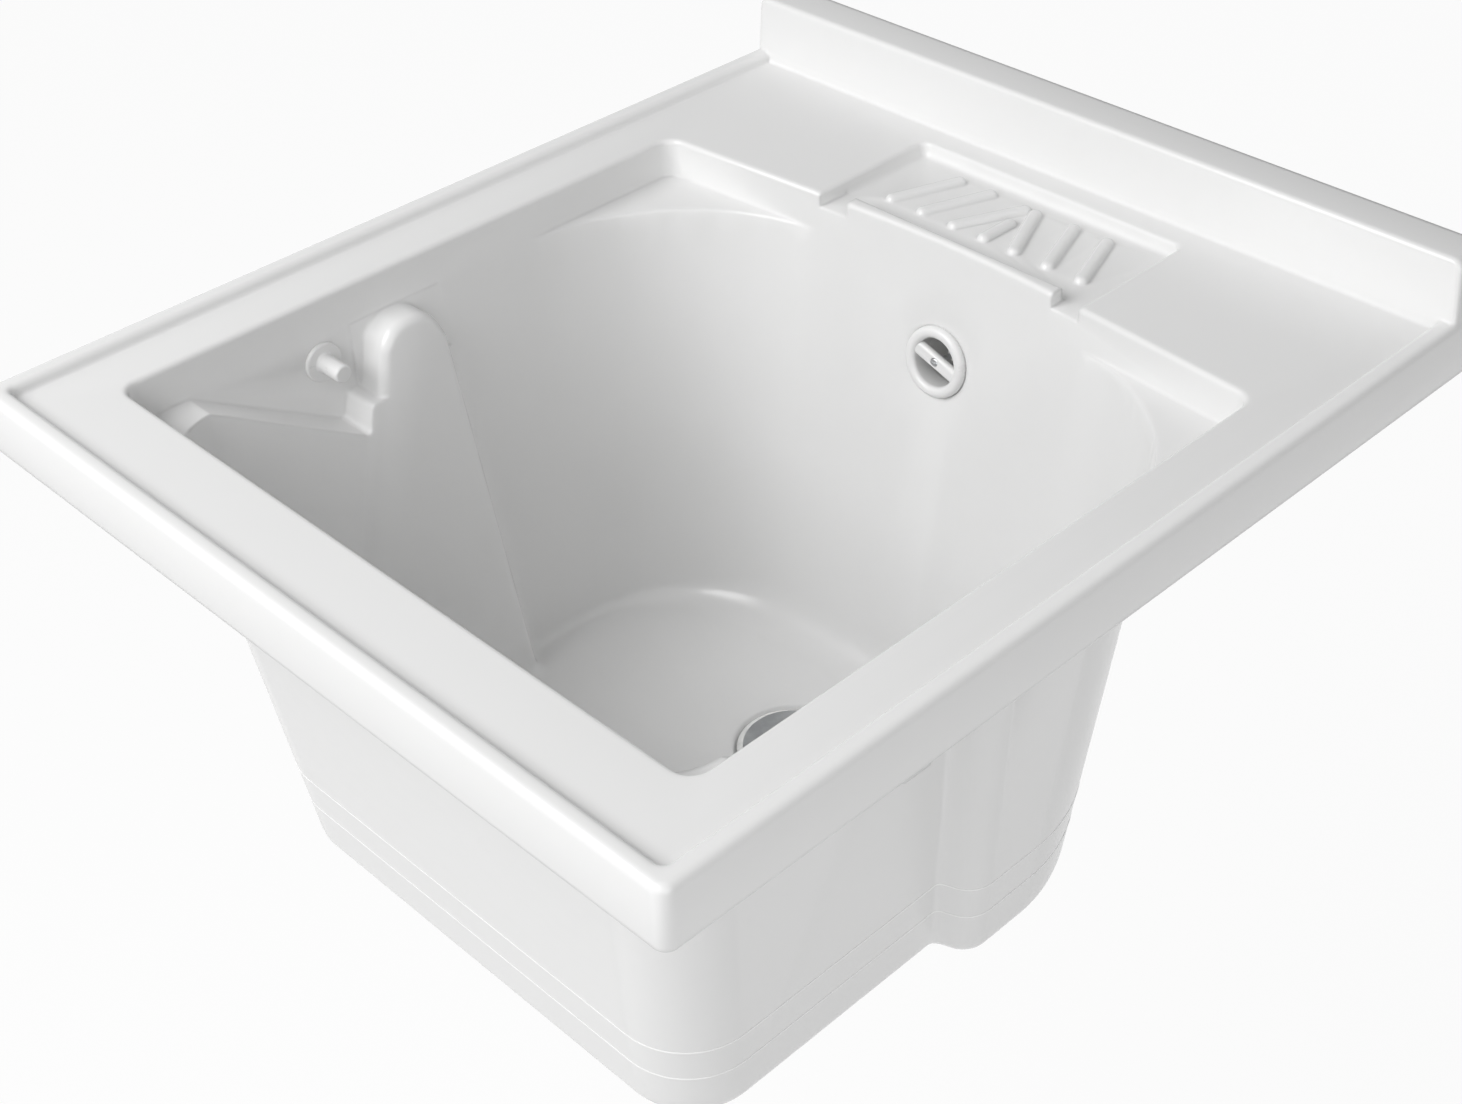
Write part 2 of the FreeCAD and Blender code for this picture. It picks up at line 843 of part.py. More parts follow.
def make_rib(name, x, length, lean):
    """One rounded rib of the soap dish, from its front end, leaning to its right as it runs back."""
    body = new_body(name)
    sketch = new_sketch(body, f"{name}_outline", height=dish_floor - s.rib_round / 4)
    along = (sine(lean), cosine(lean))
    start = (x, dish_front + s.rib_setback)
    half = s.rib_width / 2
    corners = []
    for far, side in ((0, -1), (0, 1), (1, 1), (1, -1)):
        corner_x = start[0] + along[0] * length * far + along[1] * half * side
        corner_y = start[1] + along[1] * length * far - along[0] * half * side
        corners.append((corner_x, corner_y, s.rib_width * 0.46))
    draw_outline(sketch, corners)
    base = pad(body, sketch, s.rib_height + s.rib_round / 4)

    def on_top(points, edge):
        return all(near(p.z, dish_floor + s.rib_height) for p in points)

    round_edges(body, f"{name}_rounding", base, s.rib_round, on_top)
    return body


def make_ribs():
    """Outer ribs that lean to the middle, an inner pair that meets, and a short one between them."""
    zero = Size.of(0)
    ribs = [make_rib("centre_rib", zero, s.centre_rib_length, zero)]
    for name, side in SIDES:
        ribs.append(make_rib(f"{name}_rib_1", s.rib_pitch * side, s.rib_length, s.apex_lean * -side))
        for place in (2, 3):
            x = s.rib_pitch * place * side
            ribs.append(make_rib(f"{name}_rib_{place}", x, s.rib_length, s.rib_lean * -side))
    return ribs


# Overflow axis, square to the middle of the leaning rear wall
def rear_middle(lean):
    """Y of the middle of the rear wall at the shelf or at the floor."""
    corners = well_corners(lean, Size.of(0))
    (side_x, side_y, _), (_, apex_y, radius) = corners[3], corners[4]
    slope = math.atan2((apex_y - side_y).value, side_x.value)
    return apex_y - radius * (1 / math.cos(slope) - 1)


rear_fall = rear_middle(0) - rear_middle(1)
overflow_z = deck - s.overflow_drop
overflow_y = rear_middle(0) - rear_fall * lean_at(overflow_z) + s.overflow_sink
rear_lean_angle = math.degrees(math.atan2(rear_fall.value, (shelf - floor).value))
overflow_turn = FreeCAD.Rotation(FreeCAD.Vector(1, 0, 0), 90 - rear_lean_angle)


def overflow_place(y=0, z=0):
    """A placement in the overflow's own frame: Z into the bowl, Y up the wall."""
    offset = overflow_turn.multVec(FreeCAD.Vector(0, Size.of(y).value, Size.of(z).value))
    return place_at(0, overflow_y + offset.y, overflow_z + offset.z, overflow_turn)


waste_y = opening_front + s.waste_setback
peg_y = opening_front + s.peg_setback
peg_z = deck - s.peg_drop


def peg_place(side):
    """A placement on the wall over one ledge, with Z into the bowl."""
    turn_in = FreeCAD.Rotation(FreeCAD.Vector(0, 1, 0), -90 * side)
    return place_at(opening_half * side, peg_y, peg_z, turn_in)


def make_basin():
    """The moulded basin, with its bosses, ribs and holes."""
    boss_foot = floor - s.floor_thickness - s.waste_boss_height
    shell = fuse("shell", [
        make_rim(),
        make_opening("opening_shell", s.wall, s.opening_corner + s.wall, deck - s.wall / 4, shelf - s.wall),
        make_well("well_shell", s.wall, floor - s.floor_thickness, s.floor_round_front + s.wall,
                  s.floor_round_rear + s.wall),
        make_ledge_shell(),
        make_dish_shell(),
        cylinder("overflow_boss", s.overflow_boss, s.overflow_boss_height + s.wall / 2,
                 overflow_place(z=-s.wall - s.overflow_boss_height)),
        cylinder("waste_boss", s.waste_boss, s.waste_boss_height + s.floor_thickness / 2,
                 place_at(0, waste_y, boss_foot)),
    ])
    relief = make_fin_relief()
    other_relief = doc.addObject("Part::Mirroring", "fin_relief_left")
    other_relief.Source = relief
    other_relief.Normal = FreeCAD.Vector(1, 0, 0)
    space = fuse("space", [
        make_opening("opening", Size.of(0), s.opening_corner, deck + MARGIN, shelf),
        make_well("well", Size.of(0), floor, s.floor_round_front, s.floor_round_rear),
        make_ledge(),
        relief,
        other_relief,
        make_dish(),
    ])
    moulding = fuse("moulding", [cut("hollow_shell", shell, space)] + make_ribs())
    holes = [
        cylinder("overflow_bore", s.overflow_hole, MARGIN * 2, overflow_place(z=-MARGIN)),
        cylinder("overflow_seat", s.rose_diameter + s.collar_gap * 2, MARGIN, overflow_place()),
        cylinder("waste_bore", s.waste_hole, MARGIN * 2, place_at(0, waste_y, floor - MARGIN)),
        cylinder("waste_seat", s.waste_recess, MARGIN, place_at(0, waste_y, floor - s.waste_recess_depth)),
    ]
    for name, side in SIDES:
        bore = cylinder(f"peg_bore_{name}", s.peg_shank + s.peg_hole_gap * 2, MARGIN * 2, peg_place(side))
        bore.Placement = peg_place(side).multiply(place_at(0, 0, -MARGIN))
        holes.append(bore)
    bored = cut("bored_moulding", moulding, fuse("bores", holes))
    inside = opening_half.value + 1

    def on_opening(points, edge):
        flat = all(near(p.z, deck) and abs(p.x) < inside for p in points)
        return flat and all(opening_front.value - 1 < p.y < dish_front.value - 1 for p in points)

    def on_dish(points, edge):
        flat = all(near(p.z, deck) and abs(p.x) < s.dish_width.value / 2 + 1 for p in points)
        return flat and all(dish_front.value - 1 < p.y < dish_rear.value + 1 for p in points)

    rounds = [(int(name[4:]), s.opening_round.value, s.opening_round.value)
              for name in edges_where(bored.Shape, on_opening)]
    rounds += [(int(name[4:]), s.dish_round.value, s.dish_round.value)
               for name in edges_where(bored.Shape, on_dish)]
    return fillet("basin", bored, rounds)


# Board pegs, with the washer and nut that hold each one from behind the wall
def hex_nut(name, width, bore, low, height):
    """A six-sided nut about Z."""
    body = new_body(name)
    sketch = new_sketch(body, f"{name}_outline", height=low)
    angles = [math.radians(60 * place + 30) for place in range(6)]
    reach = width / math.sqrt(3)
    draw_outline(sketch, [(reach * math.cos(angle), reach * math.sin(angle), None) for angle in angles])
    draw_circle(sketch, 0, 0, bore)
    pad(body, sketch, height)
    return body


def make_pegs():
    """Both pegs with their fixings."""
    washer_low = -s.wall - s.peg_washer_thickness
    nut_low = washer_low - s.peg_nut_height
    tail = nut_low - s.peg_tail
    tip = s.peg_flange_thickness + s.peg_length
    pieces = []
    for name, side in SIDES:
        peg = turned(f"board_peg_{name}", [
            (0, tail, None),
            (s.peg_shank / 2, tail, s.peg_round / 2),
            (s.peg_shank / 2, 0, None),
            (s.peg_flange / 2, 0, None),
            (s.peg_flange / 2, s.peg_flange_thickness, s.peg_round),
            (s.peg_diameter / 2, s.peg_flange_thickness, s.peg_round),
            (s.peg_diameter / 2, tip, s.peg_round),
            (0, tip, None),
        ])
        washer_bore = s.peg_shank + s.peg_hole_gap * 2
        nut_bore = s.peg_shank + s.thread_gap * 2
        washer = ring(f"peg_washer_{name}", washer_bore, s.peg_washer, washer_low, -s.wall)
        nut = hex_nut(f"peg_nut_{name}", s.peg_nut_width, nut_bore, nut_low, s.peg_nut_height)
        for piece in (peg, washer, nut):
            piece.Placement = peg_place(side)
            pieces.append(piece)
    return pieces


# Overflow: rose and screw in the bowl, gasket and elbow behind the wall
gasket_low = -s.wall - s.overflow_boss_height - s.overflow_gasket_thickness
drum_top = gasket_low - s.elbow_flange_thickness
drum_foot = gasket_low - s.elbow_depth
spigot_axis = (drum_top + drum_foot) / 2
boss_top = drum_top - s.elbow_boss_drop
bar_top = s.bar_thickness - s.bar_sink
screw_seat = bar_top - s.screw_head_height


def make_rose():
    """The rose: a ring with a collar in the wall and a bar across its mouth."""
    collar_foot = gasket_low - s.collar_reach
    body = turned("overflow_rose", [
        (s.rose_opening / 2, collar_foot, None),
        (s.overflow_hole / 2 - s.collar_gap, collar_foot, None),
        (s.overflow_hole / 2 - s.collar_gap, 0, None),
        (s.rose_diameter / 2, 0, None),
        (s.rose_diameter / 2, s.rose_thickness, s.rose_round),
        (s.rose_opening / 2, s.rose_thickness, s.rose_round),
    ])
    bar = new_sketch(body, "rose_bar", "YZ_Plane")
    draw_outline(bar, [
        (-s.bar_width / 2, -s.bar_sink, None),
        (s.bar_width / 2, -s.bar_sink, None),
        (s.bar_width / 2, bar_top, s.bar_round),
        (-s.bar_width / 2, bar_top, s.bar_round),
    ])
    pad(body, bar, s.rose_opening + s.collar_gap * 2, midplane=True)
    bores = [("hole", s.overflow_screw, s.bar_thickness), ("sink", s.screw_head, s.screw_head_height)]
    for name, width, depth in bores:
        hole = new_sketch(body, f"rose_screw_{name}", height=bar_top)
        draw_circle(hole, 0, 0, width + s.screw_gap * 2)
        pocket(body, hole, depth)
    turn = FreeCAD.Rotation(FreeCAD.Vector(0, 0, 1), -s.rose_turn.value)
    body.Placement = overflow_place().multiply(place_at(0, 0, 0, turn))
    return body


def slotted_screw(name, thread, head, head_height, seat, length):
    """A round-headed screw with a straight slot, its head on a seat and its tip down."""
    top = seat + head_height
    body = turned(name, [
        (0, seat - length, None),
        (thread / 2, seat - length, s.screw_point),
        (thread / 2, seat, None),
        (head / 2, seat, None),
        (head / 2, top, head_height * 0.7),
        (0, top, None),
    ])
    slot = new_sketch(body, f"{name}_slot", height=top)
    draw_box(slot, -head, -s.screw_slot / 2, head, s.screw_slot / 2)
    pocket(body, slot, head_height / 2)
    return body


def make_elbow():
    """The elbow: a drum with a flange, a boss for the screw and a spigot down the wall."""
    body = turned("overflow_elbow", [
        (0, gasket_low, None),
        (s.rose_diameter / 2, gasket_low, None),
        (s.rose_diameter / 2, drum_top, None),
        (s.overflow_hole / 2 + s.elbow_wall, drum_top, None),
        (s.overflow_hole / 2 + s.elbow_wall, drum_foot, s.elbow_wall),
        (0, drum_foot, None),
    ])
    spigot = new_sketch(body, "elbow_spigot", "XZ_Plane")
    draw_circle(spigot, 0, spigot_axis, s.spigot_diameter)
    pad(body, spigot, s.elbow_drop)
    groove(body, "elbow_chamber", [
        (0, gasket_low + MARGIN, None),
        (s.overflow_hole / 2, gasket_low + MARGIN, None),
        (s.overflow_hole / 2, drum_foot + s.elbow_wall, None),
        (s.elbow_boss / 2, drum_foot + s.elbow_wall, None),
        (s.elbow_boss / 2, boss_top, None),
        (0, boss_top, None),
    ])
    way = new_sketch(body, "elbow_way", "XZ_Plane", s.elbow_drop)
    draw_circle(way, 0, spigot_axis, s.pipe_bore)
    pocket(body, way, s.elbow_drop - s.elbow_boss)
    entry = new_sketch(body, "elbow_entry", "XZ_Plane", s.elbow_drop)
    draw_circle(entry, 0, spigot_axis, s.pipe_diameter + s.pipe_gap * 2)
    pocket(body, entry, s.pipe_entry)
    hole = new_sketch(body, "elbow_screw_hole", height=boss_top)
    draw_circle(hole, 0, 0, s.overflow_screw + s.thread_gap * 2)
    pocket(body, hole, s.elbow_boss_hole)
    body.Placement = overflow_place()
    return body


def make_overflow():
    """Rose, screw, gasket and elbow."""
    screw = slotted_screw("overflow_screw", s.overflow_screw, s.screw_head, s.screw_head_height, screw_seat,
                          screw_seat - boss_top + s.elbow_boss_hole - s.screw_point * 2)
    gasket = ring("overflow_gasket", s.overflow_hole + s.collar_gap * 2, s.rose_diameter, gasket_low,
                  -s.wall - s.overflow_boss_height)
    for piece in (screw, gasket):
        piece.Placement = overflow_place()
    return [make_rose(), screw, gasket, make_elbow()]


# Waste: levels from the floor down
gasket_seat = -s.waste_recess_depth
flange_low = gasket_seat + s.waste_gasket_thickness
flange_top = flange_low + s.flange_thickness
cup_floor = flange_top - s.cup_depth
boss_under = -s.floor_thickness - s.waste_boss_height
body_top = boss_under - s.waste_gasket_thickness
body_neck = body_top - s.body_flange_thickness
body_foot = body_top - s.body_depth
waste_boss_top = body_top - s.boss_drop
inlet_z = body_top - s.inlet_drop
waste_place = place_at(0, waste_y, floor)


def make_strainer():
    """The waste flange: a pressed ring with a cup that is pierced as a strainer."""
    sheet_metal = s.flange_thickness
    cup = s.cup_diameter / 2
    body = turned("waste_flange", [
        (0, cup_floor - sheet_metal, None),
        (cup, cup_floor - sheet_metal, s.cup_round + sheet_metal),
        (cup, flange_low, None),
        (s.flange_diameter / 2, flange_low, None),
        (s.flange_diameter / 2, flange_top, sheet_metal / 2),
        (cup - sheet_metal, flange_top, sheet_metal),
        (cup - sheet_metal, cup_floor, s.cup_round),
        (0, cup_floor, None),
    ])
    rows = (
        ("outer", s.outer_hole_ring, OUTER_STRAINER_HOLES),
        ("inner", s.inner_hole_ring, INNER_STRAINER_HOLES),
    )
    for name, circle, count in rows:
        sketch = new_sketch(body, f"strainer_{name}", height=cup_floor)
        draw_circle(sketch, 0, circle / 2, s.strainer_hole)
        around(body, pocket(body, sketch, sheet_metal), sketch, count)
    hole = new_sketch(body, "strainer_screw_hole", height=cup_floor)
    draw_circle(hole, 0, 0, s.waste_screw + s.screw_gap * 2)
    pocket(body, hole, sheet_metal)
    return body


def make_waste_body():
    """The waste body: a bowl with a flange, a boss on webs, a rear inlet and a threaded outlet."""
    outside = s.waste_hole / 2 + s.body_wall
    body = turned("waste_body", [
        (0, body_top, None),
        (s.waste_boss / 2 - s.body_wall, body_top, None),
        (s.waste_boss / 2 - s.body_wall, body_neck, None),
        (outside, body_neck, None),
        (outside, body_foot, s.body_wall * 2),
        (s.outlet_diameter / 2, body_foot, None),
        (s.outlet_diameter / 2, body_foot - s.outlet_length, None),
        (0, body_foot - s.outlet_length, None),
    ])
    inlet = new_sketch(body, "body_inlet", "XZ_Plane", -s.inlet_reach)
    draw_circle(inlet, 0, inlet_z, s.spigot_diameter)
    pad(body, inlet, s.inlet_reach)
    groove(body, "body_bowl", [
        (0, body_top + MARGIN, None),
        (s.waste_hole / 2, body_top + MARGIN, None),
        (s.waste_hole / 2, body_foot + s.body_wall, s.body_wall),
        (s.outlet_bore / 2, body_foot + s.body_wall, None),
        (s.outlet_bore / 2, body_foot - s.outlet_length - MARGIN, None),
        (0, body_foot - s.outlet_length - MARGIN, None),
    ])
    way = new_sketch(body, "inlet_way", "XZ_Plane", -s.inlet_reach)
    draw_circle(way, 0, inlet_z, s.pipe_bore)
    pocket(body, way, s.inlet_reach - s.body_boss, reversed_way=True)
    entry = new_sketch(body, "inlet_entry", "XZ_Plane", -s.inlet_reach)
    draw_circle(entry, 0, inlet_z, s.pipe_diameter + s.pipe_gap * 2)
    pocket(body, entry, s.pipe_entry, reversed_way=True)
    web = new_sketch(body, "body_webs", height=waste_boss_top - s.web_height)
    draw_box(web, -s.body_web / 2, -s.waste_hole / 2 - s.body_wall / 2, s.body_web / 2, 0)
    around(body, pad(body, web, s.web_height), web, BODY_WEBS)
    boss = new_sketch(body, "body_boss", height=waste_boss_top - s.web_height)
    draw_circle(boss, 0, 0, s.body_boss)
    pad(body, boss, s.web_height)
    hole = new_sketch(body, "body_screw_hole", height=waste_boss_top)
    draw_circle(hole, 0, 0, s.waste_screw + s.thread_gap * 2)
    pocket(body, hole, s.web_height)
    return body


def make_waste():
    """Strainer, screw, gaskets and body."""
    reach = cup_floor - waste_boss_top + s.web_height - s.screw_point * 2
    head = (s.waste_screw_head, s.waste_screw_head_height)
    screw = slotted_screw("waste_screw", s.waste_screw, *head, cup_floor, reach)
    upper = ring("waste_gasket_upper", s.waste_hole, s.flange_diameter, gasket_seat, flange_low)
    lower = ring("waste_gasket_lower", s.waste_hole, s.waste_boss - s.body_wall * 2, body_top, boss_under)
    pieces = [make_strainer(), screw, upper, lower, make_waste_body()]
    for piece in pieces:
        piece.Placement = waste_place
    return pieces


def make_plug():
    """The rubber plug, with a rim on the flange and a knob to pull."""
    seat = flange_top + s.plug_seat_gap
    rim_top = seat + s.plug_rim_thickness
    throat = s.cup_diameter / 2 - s.flange_thickness - s.plug_gap
    top = rim_top + s.plug_knob_height
    body = turned("drain_plug", [
        (0, seat - s.plug_depth, None),
        (throat - s.plug_taper, seat - s.plug_depth, s.plug_round),
        (throat - s.plug_taper / 4, seat, None),
        (s.plug_rim / 2, seat, None),
        (s.plug_rim / 2, rim_top, s.plug_round),
        (s.plug_neck / 2, rim_top, s.plug_round),
        (s.plug_neck / 2, rim_top + s.plug_knob_height / 3, None),
        (s.plug_knob / 2, rim_top + s.plug_knob_height / 2, s.plug_round),
        (s.plug_knob / 2, top, s.plug_round * 2),
        (0, top, None),
    ])
    body.Placement = waste_place
    return body


# Overflow pipe: down the rear wall, round under the floor and into the waste
def make_pipe():
    """The moulded pipe, in a frame at its upper end with Z up the wall."""
    lean = math.radians(rear_lean_angle)
    upper_end = overflow_place(y=s.pipe_entry - s.elbow_drop, z=spigot_axis).Base
    level = (floor + inlet_z).value
    run = (upper_end.z - level) / math.cos(lean)
    corner_y = upper_end.y - run * math.sin(lean)
    sweep = math.pi / 2 - lean
    tangent = s.pipe_bend.value * math.tan(sweep / 2)
    first = Size.of(run - tangent)
    lower_end = (waste_y + s.inlet_reach - s.pipe_entry).value
    last = Size.of(corner_y - tangent - lower_end)
    body = new_body("overflow_pipe")
    path = new_sketch(body, "pipe_path", "YZ_Plane")
    centre = FreeCAD.Vector(-s.pipe_bend.value, -first.value, 0)
    ahead = FreeCAD.Vector(-math.cos(lean), -math.sin(lean), 0)
    bend = Part.ArcOfCircle(Part.Circle(centre, FreeCAD.Vector(0, 0, 1), s.pipe_bend.value), -sweep, 0)
    down = path.addGeometry(Part.LineSegment(FreeCAD.Vector(0, 0, 0), vector(0, -first)), False)
    arc = path.addGeometry(bend, False)
    bend_end = bend.StartPoint
    run_in = path.addGeometry(Part.LineSegment(bend_end, bend_end + ahead * last.value), False)
    constrain(path, "Coincident", down, 1, -1, 1)
    constrain(path, "Vertical", down)
    constrain(path, "Distance", down, size=first)
    constrain(path, "Tangent", down, 2, arc, 2)
    constrain(path, "Radius", arc, size=s.pipe_bend)
    constrain(path, "Tangent", arc, 1, run_in, 1)
    constrain(path, "Distance", run_in, size=last)
    constrain(path, "DistanceX", run_in, 2, run_in, 1, size=Size.of(last.value * math.cos(lean)))
    section = new_sketch(body, "pipe_section")
    draw_circle(section, 0, 0, s.pipe_diameter)
    draw_circle(section, 0, 0, s.pipe_bore)
    swept = body.newObject("PartDesign::AdditivePipe", "pipe_swept")
    swept.Profile = section
    swept.Spine = (path, ["Edge1", "Edge2", "Edge3"])
    doc.recompute()
    body.Placement = FreeCAD.Placement(upper_end, FreeCAD.Rotation(FreeCAD.Vector(1, 0, 0), -rear_lean_angle))
    return body


def make_union(name, place):
    """The seal and nut that hold the pipe in a spigot, in a frame at the mouth with Z along the pipe."""
    seal = ring(f"pipe_seal_{name}", s.pipe_diameter + s.pipe_gap * 2, s.spigot_diameter, 0, s.seal_thickness)
    lip = s.seal_thickness + s.nut_lip
    bore = s.spigot_diameter / 2 + s.nut_gap
    nut = turned(f"pipe_nut_{name}", [
        (bore, lip - s.nut_height, None),
        (s.nut_diameter / 2, lip - s.nut_height, s.nut_round),
        (s.nut_diameter / 2, lip, s.nut_round),
        (s.pipe_diameter / 2 + s.pipe_gap * 2, lip, None),
        (s.pipe_diameter / 2 + s.pipe_gap * 2, s.seal_thickness, None),
        (bore, s.seal_thickness, None),
    ])
    grip = new_sketch(nut, f"{name}_grip", height=lip)
    draw_circle(grip, 0, s.nut_diameter / 2 + s.nut_grip / 4, s.nut_grip)
    around(nut, pocket(nut, grip, s.nut_height), grip, NUT_GRIPS)
    for piece in (seal, nut):
        piece.Placement = place
    return [seal, nut]


def make_unions():
    """The union at the elbow and the one at the waste body."""
    mouth = overflow_place(y=-s.elbow_drop, z=spigot_axis).Base
    down_the_wall = FreeCAD.Rotation(FreeCAD.Vector(1, 0, 0), 180 - rear_lean_angle)
    to_the_rear = FreeCAD.Rotation(FreeCAD.Vector(1, 0, 0), -90)
    return (make_union("upper", FreeCAD.Placement(mouth, down_the_wall))
            + make_union("lower", place_at(0, waste_y + s.inlet_reach, floor + inlet_z, to_the_rear)))


pieces = [make_basin(), make_pipe(), make_plug()]
pieces += make_pegs() + make_overflow() + make_unions() + make_waste()
doc.recompute()
for item in doc.Objects:
    if "Invalid" in item.State or "Error" in item.State:
        raise RuntimeError(f"{item.Name} is {item.State}")
os.makedirs("parts", exist_ok=True)
for piece in pieces:
    if piece.Shape.isNull() or not piece.Shape.isValid() or len(piece.Shape.Solids) != 1:
        raise RuntimeError(f"{piece.Name} is not one valid solid")
    piece.Label = piece.Name
    piece.Shape.exportStep(f"parts/{piece.Label}.step")
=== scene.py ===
"""Looks of a laundry sink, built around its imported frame.

Metres, in the frame of the CAD model: X runs across, Y to the wall, Z up.
"""

import json
import logging
import math
from abc import ABC, abstractmethod
from dataclasses import dataclass
from enum import Enum
from typing import Iterable, Mapping, Optional, Sequence, Union

import bmesh
import bpy
from mathutils import Euler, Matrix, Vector


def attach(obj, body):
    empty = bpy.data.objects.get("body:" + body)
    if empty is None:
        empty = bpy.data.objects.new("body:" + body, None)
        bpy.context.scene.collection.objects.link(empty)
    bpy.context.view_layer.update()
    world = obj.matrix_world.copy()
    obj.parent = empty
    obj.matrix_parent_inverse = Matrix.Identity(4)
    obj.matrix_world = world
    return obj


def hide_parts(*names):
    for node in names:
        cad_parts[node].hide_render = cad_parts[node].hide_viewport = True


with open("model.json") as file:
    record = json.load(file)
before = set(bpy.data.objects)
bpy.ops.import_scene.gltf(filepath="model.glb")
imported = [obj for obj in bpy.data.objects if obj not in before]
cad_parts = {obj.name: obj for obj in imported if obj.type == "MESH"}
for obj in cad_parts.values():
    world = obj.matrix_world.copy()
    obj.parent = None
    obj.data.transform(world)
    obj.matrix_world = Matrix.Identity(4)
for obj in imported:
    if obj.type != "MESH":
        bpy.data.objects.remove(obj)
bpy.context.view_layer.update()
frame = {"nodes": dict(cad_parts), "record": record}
LOG = logging.getLogger("laundry_sink")

Colour = tuple[float, float, float, float]
Point = tuple[float, float, float]
Operand = Union["Value", float, Sequence[float]]


class Body(Enum):
    """Rigid bodies of the frame."""

    SINK = "sink"
    PLUG = "plug"


class Value:
    """A shader value. Arithmetic on it adds Math nodes to its graph."""

    def __init__(self, graph: "Graph", socket: bpy.types.NodeSocket) -> None:
        """Keep the socket and the graph that it belongs to."""
        self.graph = graph
        self.socket = socket

    def __add__(self, other: Operand) -> "Value":
        """Sum."""
        return self.graph.math("ADD", self, other)

    def __radd__(self, other: Operand) -> "Value":
        """Sum with the value on the right."""
        return self.graph.math("ADD", other, self)

    def __sub__(self, other: Operand) -> "Value":
        """Difference."""
        return self.graph.math("SUBTRACT", self, other)

    def __rsub__(self, other: Operand) -> "Value":
        """Difference with the value on the right."""
        return self.graph.math("SUBTRACT", other, self)

    def __mul__(self, other: Operand) -> "Value":
        """Product."""
        return self.graph.math("MULTIPLY", self, other)

    def __rmul__(self, other: Operand) -> "Value":
        """Product with the value on the right."""
        return self.graph.math("MULTIPLY", other, self)

    def above(self, level: float, blend: float) -> "Value":
        """A mask that rises from 0 to 1 round a level.

        Args:
            level: Where the mask is one half.
            blend: Width of the rise.

        Returns:
            The mask.
        """
        sockets = {"Value": self, "From Min": level - blend / 2, "From Max": level + blend / 2}
        return self.graph.add("ShaderNodeMapRange", {"interpolation_type": "SMOOTHSTEP"}, sockets)


class Graph:
    """The nodes of one material or of the world."""

    def __init__(self, tree: bpy.types.NodeTree) -> None:
        """Empty the tree and keep it."""
        self.tree = tree
        tree.nodes.clear()

    def node(
        self,
        kind: str,
        settings: Optional[Mapping[str, object]] = None,
        sockets: Optional[Mapping[Union[str, int], Operand]] = None,
    ) -> bpy.types.Node:
        """Make one node.

        Args:
            kind: Type of the node.
            settings: Properties that are set before its sockets.
            sockets: Numbers, colours or links of its inputs.

        Returns:
            The node.
        """
        node = self.tree.nodes.new(kind)
        for name, setting in (settings or {}).items():
            setattr(node, name, setting)
        for name, operand in (sockets or {}).items():
            if isinstance(operand, Value):
                self.tree.links.new(operand.socket, node.inputs[name])
            else:
                node.inputs[name].default_value = operand
        return node

    def add(
        self,
        kind: str,
        settings: Optional[Mapping[str, object]] = None,
        sockets: Optional[Mapping[Union[str, int], Operand]] = None,
        output: Union[str, int] = 0,
    ) -> Value:
        """Make one node and take one of its outputs.

        Args:
            kind: Type of the node.
            settings: Properties that are set before its sockets.
            sockets: Numbers, colours or links of its inputs.
            output: Which output is wanted.

        Returns:
            The wanted output.
        """
        return Value(self, self.node(kind, settings, sockets).outputs[output])

    def math(self, operation: str, first: Operand, second: Operand) -> Value:
        """Add one Math node.

        Args:
            operation: What it does.
            first: Its first operand.
            second: Its second operand.

        Returns:
            The result.
        """
        return self.add("ShaderNodeMath", {"operation": operation}, {0: first, 1: second})

    def mix(self, factor: Operand, first: Operand, second: Operand) -> Value:
        """Mix two colours.

        Args:
            factor: Share of the second colour.
            first: Colour at 0.
            second: Colour at 1.

        Returns:
            The mixed colour.
        """
        sockets = {0: factor, 6: first, 7: second}
        return self.add("ShaderNodeMix", {"data_type": "RGBA"}, sockets, 2)

    def place(self, scale: Point = (1.0, 1.0, 1.0)) -> Value:
        """Object coordinates.

        Args:
            scale: Stretch along each axis.

        Returns:
            The coordinates.
        """
        place = self.add("ShaderNodeTexCoord", output="Object")
        return self.add("ShaderNodeVectorMath", {"operation": "MULTIPLY"}, {0: place, 1: scale})

    def noise(self, place: Value, scale: float, detail: float = 3.0, roughness: float = 0.55) -> Value:
        """Fractal noise from 0 to 1.

        Args:
            place: Coordinates.
            scale: Features per metre.
            detail: Octaves.
            roughness: Weight of the fine octaves.

        Returns:
            The noise.
        """
        sockets = {"Vector": place, "Scale": scale, "Detail": detail, "Roughness": roughness}
        return self.add("ShaderNodeTexNoise", None, sockets)

    def bump(
        self, height: Value, distance: float, strength: float, normal: Optional[Value] = None
    ) -> Value:
        """A normal from a height.

        Args:
            height: Height, in units of the distance.
            distance: Metres for a height of 1.
            strength: Share of the effect.
            normal: The normal that it starts from, or none for the mesh's own.

        Returns:
            The normal.
        """
        sockets = {"Height": height, "Distance": distance, "Strength": strength}
        if normal is not None:
            sockets["Normal"] = normal
        return self.add("ShaderNodeBump", None, sockets)

    def soft_edges(self, radius: float) -> Value:
        """A normal that turns gently over the edges of a moulding.

        Args:
            radius: How far from an edge the turn begins.

        Returns:
            The normal.
        """
        return self.add("ShaderNodeBevel", {"samples": 8}, {"Radius": radius})


